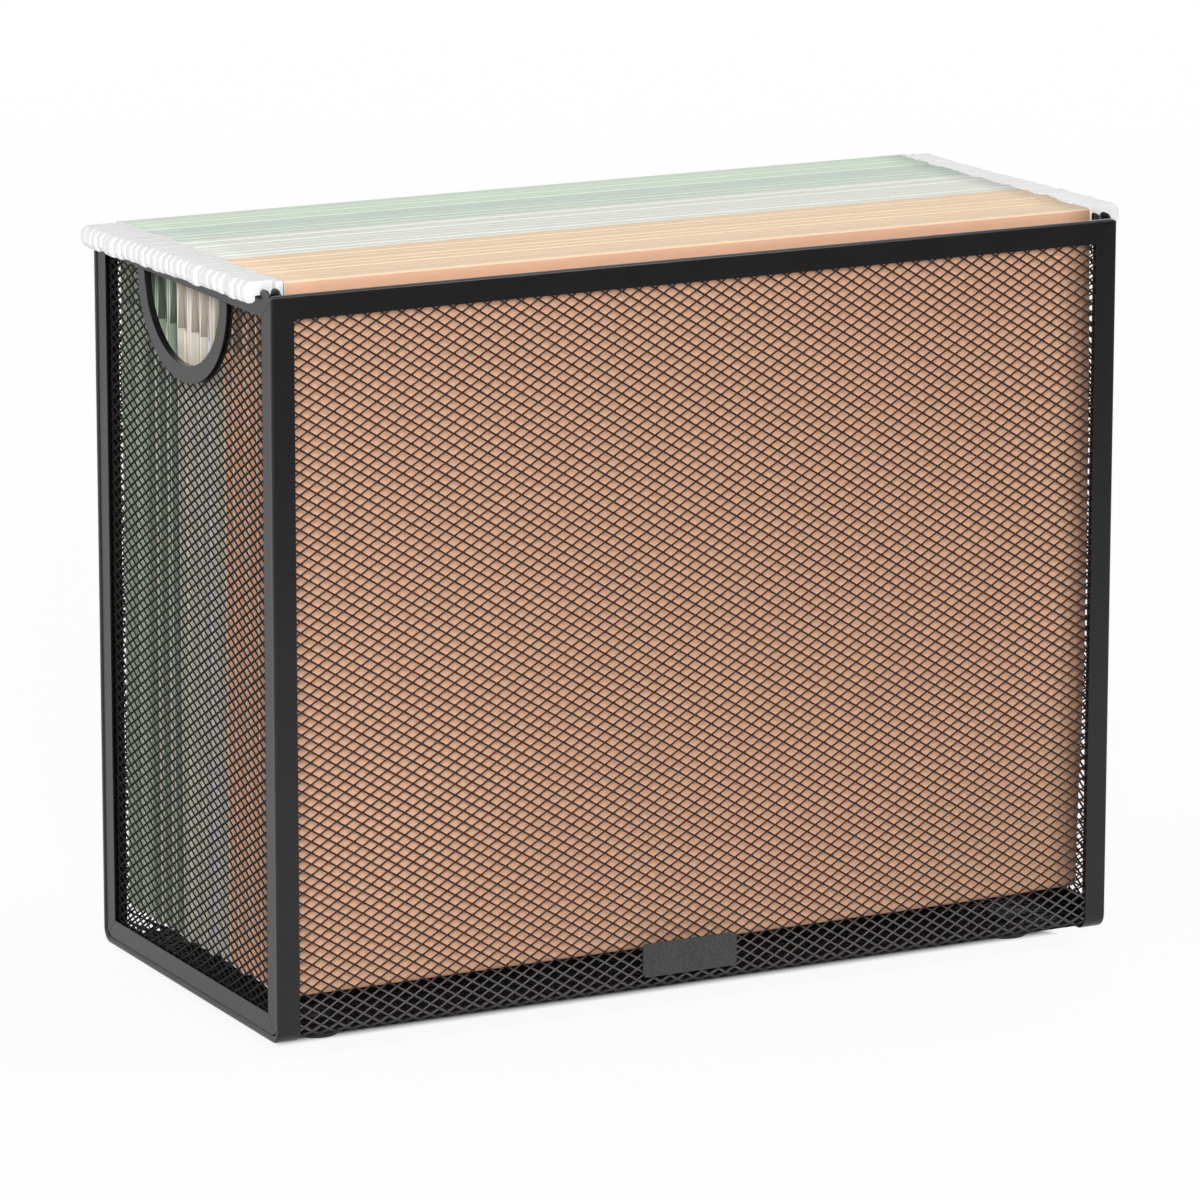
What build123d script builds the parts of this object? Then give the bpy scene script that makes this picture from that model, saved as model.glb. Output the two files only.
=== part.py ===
from build123d import *
import os

# Desk organizer of black expanded steel for letter-size hanging folders.
# All lengths are in millimetres. X runs along the front, Y to the rear, Z up.
# The origin is the middle of the footprint, on the surface that the feet stand on.

os.makedirs("parts", exist_ok=True)

# Letter-size hanging folders, which set the size of the case
card_width = 298.5
card_height = 238.1
folder_pitch = 8.72

# Count of each card colour, from the front
tan_folders = 5
grey_folders = 4
green_folders = 3
pale_folders = 2

# Room that the case leaves round the folders
card_side_gap = 2.25
row_margin = 10.46
seat_spare = 0.46
hang_gap = 11.3
seat_drop = 4.8
rim_rise = 1.5
floor_gap = 5.5

# Folded steel channels and the mesh that they hold
steel = 0.7
mesh_steel = 1.0
channel_flange = 8.0
channel_round = 0.9
bend_radius = 5.0
corner_round = 1.8

# End frames, which stand inside the edge channels
end_recess = 0.5
end_flange = 6.5
corner_gap = 1.4
rail_width = 4.5
ear_rise = 2.8
ear_round = 2.4
ear_run = 1.4

# Hand holes under the rails
hole_half_length = 30.0
hole_depth = 26.5
hole_rim = 5.8
hole_flat_share = 0.6
panel_slit = 0.04

# Expanded mesh, drawn with wide diamonds
strand = 3.2
net_margin = 2.0
front_columns = 10
front_rows = 14
base_rows = 8
end_columns = 5
end_rows = 14

# Blank plate on the front
plate_width = 35.4
plate_height = 11.6
plate_x = -5.0
plate_lift = 5.6
plate_round = 1.6

# Feet and what holds them under the mesh
foot_radius = 10.0
foot_inset = 25.1
foot_round = 3.4
stem_radius = 1.6
stem_play = 0.1
washer_radius = 6.0
washer_thickness = 1.2

# Folded card of a folder
card = 0.5
folder_play = 0.3
end_bulge = 3.4
pocket_mouth = 0.95
fold_round = 1.2
base_flat = 0.56
tuck_round = 2.0
tuck_below_rod = 1.0
tuck_length = 17.6
tuck_gap = 0.12

# Flat rods in the folds, with coated hooks on their ends
rod_steel = 1.2
rod_height = 6.4
rod_slack = 0.1
hook_gap = 0.61
hook_past = 5.5
hook_round = 1.6
hook_lift = 0.3
hook_play = 1.25
hook_clear = 0.3

# Papers in manila covers: which folders hold some, the room left before and behind them,
# and how far they stay below the top of the card
filled_folders = (5, 6, 7, 8, 9, 11, 12)
papers_plays = (2.5, 2.2, 2.2, 1.0, 1.0, 2.5, 2.5)
papers_drops = (20.6, 17.6, 17.6, 29.6, 29.6, 22.6, 20.6)
papers_inset = 1.6
papers_round_share = 0.4

# How far each folder has slid sideways on the rails, from the front
side_slides = (0.7, -0.3, 0.4, -0.6, 0.2, 0.6, -0.4, 0.1, -0.7, 0.3, -0.2, -0.6, 0.2, -0.5)

# Row of folders and the case round it
folder_count = tan_folders + grey_folders + green_folders + pale_folders
row_depth = folder_count * folder_pitch
case_width = card_width + 2 * (card_side_gap + rail_width + end_recess)
case_depth = row_depth + 2 * row_margin
half_width = case_width / 2
half_depth = case_depth / 2
base_top = floor_gap + steel + mesh_steel
card_base = base_top + hang_gap
card_top = card_base + card_height
rail_seat = card_top - seat_drop
case_top = rail_seat + rim_rise
ear_top = rail_seat + ear_rise
rail_base = case_top - channel_flange

# End frames inside the case
channel_depth = mesh_steel + 2 * steel
end_half = half_depth - channel_depth
end_base = floor_gap + channel_depth
end_corner = bend_radius - channel_depth + corner_gap
end_face = half_width - end_recess
seat_half = row_depth / 2 + seat_spare


def tray_section(inset: float) -> Sketch:
    """Filled U of the bent tray seen from its end, drawn this far inside the outer face."""
    low = floor_gap + inset
    with BuildSketch() as section:
        with Locations((0, (low + case_top) / 2)):
            Rectangle(case_depth - 2 * inset, case_top - low)
        fillet(section.vertices().group_by(Axis.Y)[0], bend_radius - inset)
    return section.sketch


def end_section(inset: float, top: float) -> Sketch:
    """Filled outline of an end frame, drawn this far inside its outer edge."""
    low = end_base + inset
    with BuildSketch() as section:
        with Locations((0, (low + top) / 2)):
            Rectangle(2 * (end_half - inset), top - low)
        fillet(section.vertices().group_by(Axis.Y)[0], end_corner - inset)
    return section.sketch


def net_centres(width: float, height: float, columns: int, rows: int) -> list:
    """Centres of the diamonds of a staggered net, about the middle of its panel."""
    step_x = width / columns
    step_y = height / rows
    centres = []
    for row in range(2 * rows - 1):
        shift = row % 2
        for column in range(columns - shift):
            x = (column + (1 + shift) / 2) * step_x - width / 2
            y = (row + 1) * step_y / 2 - height / 2
            centres.append((x, y))
    return centres


def net_diamond(width: float, height: float, columns: int, rows: int) -> Sketch:
    """One gap of a net whose strands are all the same width."""
    half_x = width / columns / 2
    half_y = height / rows / 2
    shrink = 1 - strand / 2 * (half_x ** 2 + half_y ** 2) ** 0.5 / (half_x * half_y)
    with BuildSketch() as gap:
        corners = ((half_x, 0), (0, half_y), (-half_x, 0), (0, -half_y))
        Polygon(*[(x * shrink, y * shrink) for x, y in corners], align=None)
    return gap.sketch


# Front and rear mesh, the upright runs of the bent sheet
net_width = case_width - 2 * channel_flange
face_base = floor_gap + bend_radius
face_top = case_top - steel
net_base = face_base + net_margin
net_top = rail_base
for side, name in ((-1, "front_mesh"), (1, "rear_mesh")):
    outer = side * (half_depth - steel)
    with BuildPart() as face_mesh:
        with BuildSketch(Plane.XZ.offset(-outer)):
            with Locations((0, (face_base + face_top) / 2)):
                Rectangle(case_width - 2 * steel, face_top - face_base)
            gap = net_diamond(net_width, net_top - net_base, front_columns, front_rows)
            middle = (net_top + net_base) / 2
            centres = net_centres(net_width, net_top - net_base, front_columns, front_rows)
            with Locations(*[(x, y + middle) for x, y in centres]):
                add(gap, mode=Mode.SUBTRACT)
        extrude(amount=side * mesh_steel)
    face_mesh.part.label = name
    export_step(face_mesh.part, f"parts/{name}.step")

# Base mesh, with the two bends that turn up into the front and rear
base_depth = 2 * (half_depth - bend_radius)
foot_x = half_width - foot_inset
foot_y = half_depth - foot_inset
foot_places = [(x, y) for x in (-foot_x, foot_x) for y in (-foot_y, foot_y)]
with BuildPart() as base_mesh:
    with BuildSketch(Plane.YZ.offset(-(half_width - steel))):
        add(tray_section(steel))
        add(tray_section(steel + mesh_steel), mode=Mode.SUBTRACT)
        with Locations((0, (case_top + face_base) / 2)):
            Rectangle(case_depth, case_top - face_base, mode=Mode.SUBTRACT)
    extrude(amount=case_width - 2 * steel)
    with BuildSketch(Plane.XY.offset(floor_gap)):
        with Locations(*net_centres(net_width, base_depth, front_columns, base_rows)):
            add(net_diamond(net_width, base_depth, front_columns, base_rows))
        with Locations(*foot_places):
            Circle(stem_radius + stem_play)
    extrude(amount=base_top, mode=Mode.SUBTRACT)
base_mesh.part.label = "base_mesh"
export_step(base_mesh.part, "parts/base_mesh.step")

# Edge channels: each binds one edge of the bent sheet from the front, under and up the rear
for side, name in ((-1, "left_edge_channel"), (1, "right_edge_channel")):
    web = side * half_width
    with BuildPart() as edge_channel:
        with BuildSketch(Plane.YZ.offset(web)):
            add(tray_section(0))
            add(tray_section(channel_depth), mode=Mode.SUBTRACT)
        extrude(amount=-side * channel_flange)
        long_edges = edge_channel.faces().sort_by(Axis.X)[-1 if side > 0 else 0].edges()
        fillet(long_edges.filter_by(lambda e: e.center().Z < case_top - channel_round), channel_round)
        with BuildSketch(Plane.YZ.offset(web - side * steel)):
            add(tray_section(steel))
            add(tray_section(steel + mesh_steel), mode=Mode.SUBTRACT)
        extrude(amount=-side * channel_flange, mode=Mode.SUBTRACT)
        with BuildSketch(Plane.XZ):
            inner = web - side * channel_flange
            Polygon((web, case_top), (inner, case_top), (inner, rail_base), align=None)
        extrude(amount=case_depth, both=True, mode=Mode.SUBTRACT)
        with BuildSketch(Plane.XZ):
            with Locations((0, case_top / 2)):
                RectangleRounded(case_width, case_top, corner_round)
        extrude(amount=case_depth, both=True, mode=Mode.INTERSECT)
    edge_channel.part.label = name
    export_step(edge_channel.part, f"parts/{name}.step")

# Top channels over the front and rear edges of the sheet, mitred to the edge channels
for side, name in ((-1, "front_top_channel"), (1, "rear_top_channel")):
    with BuildPart() as top_channel:
        with BuildSketch(Plane.YZ.offset(-half_width)):
            with Locations((side * (half_depth - channel_depth / 2), case_top - channel_flange / 2)):
                Rectangle(channel_depth, channel_flange)
        extrude(amount=case_width)
        ridges = top_channel.edges().filter_by(Axis.X).group_by(Axis.Z)[-1]
        fillet(ridges, channel_round)
        with BuildSketch(Plane.YZ.offset(-half_width)):
            slot_height = channel_flange - steel
            with Locations((side * (half_depth - channel_depth / 2), rail_base + slot_height / 2)):
                Rectangle(mesh_steel, slot_height)
        extrude(amount=case_width, mode=Mode.SUBTRACT)
        with BuildSketch(Plane.XZ):
            with BuildLine():
                Polyline(
                    (-half_width, case_top),
                    (half_width, case_top),
                    (half_width - channel_flange, rail_base),
                    (-half_width + channel_flange, rail_base),
                    close=True,
                )
            make_face()
        extrude(amount=case_depth, both=True, mode=Mode.INTERSECT)
        with BuildSketch(Plane.XZ):
            with Locations((0, case_top / 2)):
                RectangleRounded(case_width, case_top, corner_round)
        extrude(amount=case_depth, both=True, mode=Mode.INTERSECT)
    top_channel.part.label = name
    export_step(top_channel.part, f"parts/{name}.step")

# End frames: mesh, two uprights, a base channel and the rim of the hand hole
inner_half = end_half - end_flange
end_net_base = end_base + end_flange
end_net_height = rail_base - end_net_base
end_net_middle = (rail_base + end_net_base) / 2
rim_half_length = hole_half_length + hole_rim
rim_depth = hole_depth + hole_rim
cut_base = rail_base - hole_depth - steel
cut_half_length = hole_flat_share * hole_half_length
end_gap_x = inner_half / end_columns
end_gap_y = end_net_height / end_rows / 2


def beside_hole(y: float, z: float) -> bool:
    """True where a gap of the end net stays clear of the rim."""
    reach_y = abs(y) / (rim_half_length + end_gap_x)
    reach_z = (rail_base - z) / (rim_depth + end_gap_y)
    return reach_y ** 2 + reach_z ** 2 > 1


for side, hand in ((-1, "left"), (1, "right")):
    face = side * end_face
    slot_face = face - side * steel

    with BuildPart() as end_mesh:
        with BuildSketch(Plane.YZ.offset(slot_face)):
            add(end_section(steel, rail_seat - steel))
            with Locations((0, rail_base)):
                Ellipse(hole_half_length + steel, hole_depth + steel, mode=Mode.SUBTRACT)
            with Locations((0, (rail_base + rail_seat) / 2)):
                Rectangle(2 * (hole_half_length + steel), rail_seat - rail_base, mode=Mode.SUBTRACT)
            # The edge inside the rim is cut square, and a hairline parts the sheet below
            # the hand hole from the sheet on either side of it
            with Locations((0, (cut_base + rail_base) / 2)):
                Rectangle(2 * cut_half_length, rail_base - cut_base, mode=Mode.SUBTRACT)
            with Locations((0, cut_base)):
                Rectangle(2 * end_half, panel_slit, mode=Mode.SUBTRACT)
            spread = net_centres(2 * inner_half, end_net_height, end_columns, end_rows)
            places = [(y, z + end_net_middle) for y, z in spread]
            with Locations(*[place for place in places if beside_hole(*place)]):
                add(net_diamond(2 * inner_half, end_net_height, end_columns, end_rows), mode=Mode.SUBTRACT)
        extrude(amount=-side * mesh_steel)
    end_mesh.part.label = f"{hand}_end_mesh"
    export_step(end_mesh.part, f"parts/{hand}_end_mesh.step")

    for turn, place in ((-1, "front"), (1, "rear")):
        with BuildPart() as upright:
            with BuildSketch(Plane.YZ.offset(face)):
                add(end_section(0, rail_seat))
                with BuildLine():
                    Polyline(
                        (turn * end_half, end_base),
                        (turn * inner_half, end_net_base),
                        (turn * inner_half, rail_base),
                        (turn * end_half, rail_base + end_flange),
                        close=True,
                    )
                make_face(mode=Mode.INTERSECT)
            extrude(amount=-side * channel_depth)
            with BuildSketch(Plane.YZ.offset(slot_face)):
                add(end_section(steel, case_top))
            extrude(amount=-side * mesh_steel, mode=Mode.SUBTRACT)
        upright.part.label = f"{hand}_{place}_upright"
        export_step(upright.part, f"parts/{hand}_{place}_upright.step")

    with BuildPart() as base_channel:
        with BuildSketch(Plane.YZ.offset(face)):
            add(end_section(0, rail_seat))
            with BuildLine():
                Polyline(
                    (-end_half, end_base),
                    (end_half, end_base),
                    (inner_half, end_net_base),
                    (-inner_half, end_net_base),
                    close=True,
                )
            make_face(mode=Mode.INTERSECT)
        extrude(amount=-side * channel_depth)
        with BuildSketch(Plane.YZ.offset(slot_face)):
            add(end_section(steel, case_top))
        extrude(amount=-side * mesh_steel, mode=Mode.SUBTRACT)
    base_channel.part.label = f"{hand}_base_channel"
    export_step(base_channel.part, f"parts/{hand}_base_channel.step")

    with BuildPart() as hole_rim_channel:
        with BuildSketch(Plane.YZ.offset(face)):
            with Locations((0, rail_base)):
                Ellipse(rim_half_length, rim_depth)
                Ellipse(hole_half_length, hole_depth, mode=Mode.SUBTRACT)
            with Locations((0, rail_base + rim_depth / 2)):
                Rectangle(2 * rim_half_length, rim_depth, mode=Mode.SUBTRACT)
        extrude(amount=-side * channel_depth)
        with BuildSketch(Plane.YZ.offset(slot_face)):
            with Locations((0, rail_base)):
                Ellipse(rim_half_length + steel, rim_depth + steel)
                Ellipse(hole_half_length + steel, hole_depth + steel, mode=Mode.SUBTRACT)
        extrude(amount=-side * mesh_steel, mode=Mode.SUBTRACT)
    hole_rim_channel.part.label = f"{hand}_hand_hole_rim"
    export_step(hole_rim_channel.part, f"parts/{hand}_hand_hole_rim.step")

    # Rail that the hooks ride on: two cheeks with an ear at each end, joined by the seat
    with BuildPart() as rail:
        for cheek in (face, face - side * (rail_width - steel)):
            with BuildSketch(Plane.YZ.offset(cheek)):
                with BuildLine() as cheek_line:
                    Line((-inner_half, rail_base), (inner_half, rail_base))
                    Line((inner_half, rail_base), (end_half, rail_base + end_flange))
                    RadiusArc(
                        (end_half, rail_base + end_flange),
                        (seat_half + ear_round + ear_run, ear_top),
                        -(end_half - seat_half - ear_round - ear_run),
                    )
                    Line((seat_half + ear_round + ear_run, ear_top), (seat_half + ear_round, ear_top))
                    RadiusArc((seat_half + ear_round, ear_top), (seat_half, rail_seat), -(ear_top - rail_seat))
                    Line((seat_half, rail_seat), (0, rail_seat))
                    mirror(cheek_line.edges().filter_by(lambda e: e.center().X > 0.1), about=Plane.YZ)
                make_face()
            extrude(amount=-side * steel)
        with BuildSketch(Plane.YZ.offset(face)):
            with Locations((0, rail_seat - steel / 2)):
                Rectangle(2 * seat_half, steel)
        extrude(amount=-side * rail_width)
    rail.part.label = f"{hand}_file_rail"
    export_step(rail.part, f"parts/{hand}_file_rail.step")

# Blank plate, fixed flat against the front mesh
plate_middle = floor_gap + plate_lift + plate_height / 2
with BuildPart() as name_plate:
    with BuildSketch(Plane.XZ.offset(half_depth - steel)):
        with Locations((plate_x, plate_middle)):
            RectangleRounded(plate_width, plate_height, plate_round)
    extrude(amount=steel)
name_plate.part.label = "name_plate"
export_step(name_plate.part, "parts/name_plate.step")

# Feet: domed pads whose stems pass up through the base mesh
mesh_under = floor_gap + steel
for (x, y), name in zip(foot_places, ("front_left", "rear_left", "front_right", "rear_right")):
    with BuildPart() as foot:
        with BuildSketch(Plane.XY):
            with Locations((x, y)):
                Circle(foot_radius)
        extrude(amount=mesh_under)
        fillet(foot.edges().group_by(Axis.Z)[0], foot_round)
        with BuildSketch(Plane.XY.offset(mesh_under)):
            with Locations((x, y)):
                Circle(stem_radius)
        extrude(amount=mesh_steel + washer_thickness)
    foot.part.label = f"{name}_foot"
    export_step(foot.part, f"parts/{name}_foot.step")

with BuildPart() as foot_washers:
    with BuildSketch(Plane.XY.offset(base_top)):
        with Locations(*foot_places):
            Circle(washer_radius)
            Circle(stem_radius + stem_play, mode=Mode.SUBTRACT)
    extrude(amount=washer_thickness)
foot_washers.part.label = "foot_washers"
export_step(foot_washers.part, "parts/foot_washers.step")

# Hanging folders, numbered from the front
half_slab = (folder_pitch - folder_play) / 2 - card / 2
base_round = half_slab - base_flat
mouth = pocket_mouth / 2
rod_place = folder_pitch / 4
rod_top = card_top - card - rod_slack
rod_base = rod_top - rod_height
hook_coat = folder_pitch / 2 - hook_gap
hook_end = end_face + hook_past
coat_start = card_width / 2 + hook_clear
notch_inner = end_face - rail_width - hook_play
notch_outer = end_face + hook_play
notch_top = rail_seat + hook_lift
tuck_start = rod_base - tuck_below_rod
tuck_end = tuck_start - tuck_length
papers_width = card_width - 2 * papers_inset
papers_base = card_base + card

for number in range(1, folder_count + 1):
    folder_y = (number - (folder_count + 1) / 2) * folder_pitch
    slide = side_slides[(number - 1) % len(side_slides)]
    front = half_slab + (end_bulge if number == 1 else 0)
    rear = half_slab + (end_bulge if number == folder_count else 0)
    line_top = card_top - card / 2
    line_base = card_base + card / 2
    tuck_front = tuck_gap + card - front
    tuck_rear = rear - card - tuck_gap
    corners = (
        (tuck_front, tuck_end),
        (-mouth, tuck_start),
        (-mouth, line_top),
        (-front, line_top),
        (-front, line_base),
        (rear, line_base),
        (rear, line_top),
        (mouth, line_top),
        (mouth, tuck_start),
        (tuck_rear, tuck_end),
    )
    turns = (tuck_round, fold_round, fold_round, base_round, base_round, fold_round, fold_round, tuck_round)

    with BuildPart() as sleeve:
        with BuildSketch(Plane.YZ.offset(slide - card_width / 2)):
            with BuildLine():
                path = FilletPolyline(*[(folder_y + y, z) for y, z in corners], radius=turns)
            trace(path, line_width=card)
        extrude(amount=card_width)
    sleeve.part.label = f"folder_{number:02d}_sleeve"
    export_step(sleeve.part, f"parts/folder_{number:02d}_sleeve.step")

    with BuildPart() as rods:
        for rod_y in (folder_y - rod_place, folder_y + rod_place):
            with BuildSketch(Plane.XZ.offset(-rod_y)):
                with Locations((slide, (rod_base + rod_top) / 2)):
                    RectangleRounded(2 * hook_end, rod_height, hook_round)
            extrude(amount=hook_coat / 2, both=True)
            with BuildSketch(Plane.XY.offset(rod_base)):
                for edge in (rod_y - hook_coat / 2, rod_y + hook_coat / 2):
                    with Locations((slide, edge)):
                        Rectangle(2 * coat_start, hook_coat - rod_steel)
            extrude(amount=rod_height, mode=Mode.SUBTRACT)
        with BuildSketch(Plane.XZ.offset(-folder_y)):
            for end in (-1, 1):
                with Locations((end * (notch_inner + notch_outer) / 2, (rod_base + notch_top) / 2)):
                    Rectangle(notch_outer - notch_inner, notch_top - rod_base)
        extrude(amount=folder_pitch, both=True, mode=Mode.SUBTRACT)
    rods.part.label = f"folder_{number:02d}_rods"
    export_step(rods.part, f"parts/folder_{number:02d}_rods.step")

    if number in filled_folders:
        stack = filled_folders.index(number)
        papers_top = card_top - papers_drops[stack]
        papers_thickness = 2 * half_slab - card - 2 * papers_plays[stack]
        with BuildPart() as papers:
            with BuildSketch(Plane.YZ.offset(slide - papers_width / 2)):
                with Locations((folder_y, (papers_base + papers_top) / 2)):
                    Rectangle(papers_thickness, papers_top - papers_base)
            extrude(amount=papers_width)
            fillet(papers.edges().filter_by(Axis.X).group_by(Axis.Z)[0], papers_thickness * papers_round_share)
        papers.part.label = f"folder_{number:02d}_papers"
        export_step(papers.part, f"parts/folder_{number:02d}_papers.step")
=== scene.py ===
"""Looks of a desk organizer of black expanded steel and the hanging folders that it holds."""

import logging
import math
import random
from dataclasses import dataclass, field
from enum import Enum, IntEnum

import bmesh
import bpy
from mathutils import Matrix, Vector


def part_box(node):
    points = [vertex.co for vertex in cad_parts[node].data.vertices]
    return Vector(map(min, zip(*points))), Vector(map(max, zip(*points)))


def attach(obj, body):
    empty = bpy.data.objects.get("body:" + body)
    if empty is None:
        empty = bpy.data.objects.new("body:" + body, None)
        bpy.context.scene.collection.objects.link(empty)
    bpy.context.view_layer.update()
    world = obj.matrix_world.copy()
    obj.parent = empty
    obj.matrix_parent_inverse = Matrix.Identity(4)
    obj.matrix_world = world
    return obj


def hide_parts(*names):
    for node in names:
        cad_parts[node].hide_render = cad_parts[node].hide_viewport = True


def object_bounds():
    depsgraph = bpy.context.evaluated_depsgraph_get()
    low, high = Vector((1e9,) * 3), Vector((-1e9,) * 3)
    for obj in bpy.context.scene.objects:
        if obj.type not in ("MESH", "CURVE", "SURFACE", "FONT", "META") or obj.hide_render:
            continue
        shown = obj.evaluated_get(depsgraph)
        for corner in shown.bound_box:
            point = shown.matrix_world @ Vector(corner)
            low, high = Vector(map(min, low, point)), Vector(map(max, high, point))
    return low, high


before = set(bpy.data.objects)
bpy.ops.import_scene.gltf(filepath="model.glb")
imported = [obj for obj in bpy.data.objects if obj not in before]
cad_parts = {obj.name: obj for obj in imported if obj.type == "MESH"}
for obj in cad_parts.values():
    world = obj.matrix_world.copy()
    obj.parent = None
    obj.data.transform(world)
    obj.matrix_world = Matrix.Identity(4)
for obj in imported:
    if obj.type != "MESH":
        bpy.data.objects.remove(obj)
cad_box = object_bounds()

MM = 0.001
# Points nearer than this are one point
WELD = 0.001 * MM
WHITE = (1.0, 1.0, 1.0, 1.0)

Colour = tuple[float, float, float, float]
Triple = tuple[float, float, float]
log = logging.getLogger("organizer")


def held(value: float) -> float:
    """The value held between 0 and 1."""
    return min(max(value, 0), 1)


class Sock:
    """Output of a shader node; arithmetic on it adds Math nodes."""

    def __init__(self, nodes: "Nodes", output: bpy.types.NodeSocket) -> None:
        """Keeps the nodes that the output belongs to."""
        self.nodes = nodes
        self.output = output

    def maths(self, operation: str, first: "Sock | float", second: "Sock | float") -> "Sock":
        """Result of one Math node.

        Args:
            operation: the node's operation.
            first: its first value or link.
            second: its second value or link.

        Returns:
            The node's output.
        """
        return self.nodes.node("ShaderNodeMath", {"operation": operation}, {0: first, 1: second})

    def __add__(self, other: "Sock | float") -> "Sock":
        """Sum."""
        return self.maths("ADD", self, other)

    __radd__ = __add__

    def __sub__(self, other: "Sock | float") -> "Sock":
        """Difference."""
        return self.maths("SUBTRACT", self, other)

    def __rsub__(self, other: float) -> "Sock":
        """Difference with the number first."""
        return self.maths("SUBTRACT", other, self)

    def __mul__(self, other: "Sock | float") -> "Sock":
        """Product."""
        return self.maths("MULTIPLY", self, other)

    __rmul__ = __mul__

    def __abs__(self) -> "Sock":
        """Size without its sign."""
        return self.maths("ABSOLUTE", self, 0.0)

    def __truediv__(self, other: "Sock | float") -> "Sock":
        """Quotient."""
        return self.maths("DIVIDE", self, other)

    def limited(self) -> "Sock":
        """The same value held between 0 and 1."""
        return self.nodes.node("ShaderNodeClamp", inputs={"Value": self})


class Nodes:
    """A node tree to which nodes are added."""

    def __init__(self, owner: bpy.types.Material | bpy.types.World) -> None:
        """Takes the tree of a material or a world."""
        owner.use_nodes = True
        self.tree = owner.node_tree

    def node(
        self,
        kind: str,
        settings: dict | None = None,
        inputs: dict | None = None,
        output: int | str = 0,
    ) -> Sock:
        """Adds one node.

        Args:
            kind: the node's type.
            settings: what is set on the node first, such as its operation.
            inputs: values or links of its sockets, by name or number.
            output: which of its outputs to return.

        Returns:
            That output.
        """
        made = self.tree.nodes.new(kind)
        for key, value in (settings or {}).items():
            setattr(made, key, value)
        for key, value in (inputs or {}).items():
            self.feed(made.inputs[key], value)
        return Sock(self, made.outputs[output])

    def feed(self, target: bpy.types.NodeSocket, value: object) -> None:
        """Links a socket, or sets its value."""
        if isinstance(value, Sock):
            self.tree.links.new(value.output, target)
        else:
            target.default_value = value


class Shader(Nodes):
    """Node tree of one material, grown from its Principled BSDF."""

    def __init__(self, name: str) -> None:
        """Starts a material whose nodes read Object coordinates."""
        self.material = bpy.data.materials.new(name)
        super().__init__(self.material)
        self.surface = self.tree.nodes["Principled BSDF"]
        self.place = self.node("ShaderNodeTexCoord", output="Object")

    def grain(self, size: float, detail: float = 2.0, stretch: Triple = (1, 1, 1)) -> Sock:
        """Noise of one size.

        Args:
            size: size of its patches, in metres.
            detail: how much finer noise is laid over it.
            stretch: how many times finer it is along each axis.

        Returns:
            The noise, from 0 to 1 about 0.5.
        """
        scale = tuple(value / size for value in stretch)
        place = self.node("ShaderNodeMapping", inputs={"Vector": self.place, "Scale": scale})
        return self.node("ShaderNodeTexNoise", inputs={"Vector": place, "Scale": 1.0, "Detail": detail})

    def mix(self, factor: Sock | float, first: Sock | Colour, second: Sock | Colour) -> Sock:
        """Colour between two others."""
        return self.node("ShaderNodeMix", {"data_type": "RGBA"}, {0: factor, 6: first, 7: second}, output=2)

    def axis(self, name: str) -> Sock:
        """One of the Object coordinates, in metres."""
        return self.node("ShaderNodeSeparateXYZ", inputs={0: self.place}, output=name)

    def relief(self, height: Sock, depth: float) -> Sock:
        """Normal of a surface with this relief, its depth in metres."""
        return self.node("ShaderNodeBump", inputs={"Height": height, "Distance": depth, "Strength": 1.0})

    def dress(self, **sockets: object) -> bpy.types.Material:
        """Feeds the surface's sockets, with spaces for underscores, and returns the material."""
        for key, value in sockets.items():
            self.feed(self.surface.inputs[key.replace("_", " ")], value)
        return self.material


@dataclass(frozen=True)
class PowderCoat:
    """Satin powder coat on steel, with the fine grain that baked powder has."""

    name: str
    colour: Colour
    worn: Colour
    roughness: float = 0.36
    grain: float = 0.45 * MM
    depth: float = 0.07 * MM
    patch: float = 18 * MM
    shine: float = 0.45
    gloss: float = 0
    gloss_roughness: float = 0.2
    # Colour painted below a height, as painted light on the front sheet and painted shade under the base
    # sheet, the height over which it fades in, and its least share there
    lower: Colour | None = None
    lower_height: float = 20 * MM
    lower_fade: float = 2.5 * MM
    lower_least: float = 0.6

    def material(self) -> bpy.types.Material:
        """Makes the finish."""
        shader = Shader(self.name)
        grain = shader.grain(self.grain, 3)
        patch = shader.grain(self.patch)
        colour = shader.mix((grain * 1.4 + patch * 0.4 - 0.5).limited(), self.colour, self.worn)
        # Below that height the lower colour is painted in: painted light on the front sheet, painted shade
        # under the base sheet
        if self.lower:
            lowness = ((self.lower_height - shader.axis("Z")) / self.lower_fade + 0.5).limited()
            share = (grain * 0.6 + self.lower_least).limited()
            colour = shader.mix(lowness * share, colour, self.lower)
        return shader.dress(
            Base_Color=colour,
            Roughness=grain * 0.16 + patch * 0.1 + (self.roughness - 0.13),
            Normal=shader.relief(grain, self.depth),
            Specular_IOR_Level=self.shine,
            Coat_Weight=self.gloss,
            Coat_Roughness=self.gloss_roughness,
        )


@dataclass(frozen=True)
class FolderCard:
    """Coloured card of a hanging folder."""

    name: str
    colour: Colour
    mottle: float = 0.1
    depth: float = 0.02 * MM
    fibre: float = 0.7 * MM
    cloud: float = 26 * MM

    def material(self) -> bpy.types.Material:
        """Makes the finish."""
        shader = Shader(self.name)
        fibre = shader.grain(self.fibre, 3, (1, 1, 2.5))
        cloud = shader.grain(self.cloud, 3)
        shade = tuple(value * (1 - self.mottle) for value in self.colour[:3]) + (1,)
        return shader.dress(
            Base_Color=shader.mix((fibre * 0.5 + cloud * 0.7 - 0.1).limited(), shade, self.colour),
            Roughness=0.72 + fibre * 0.16,
            Normal=shader.relief(fibre, self.depth),
            Specular_IOR_Level=0.25,
        )


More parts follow.
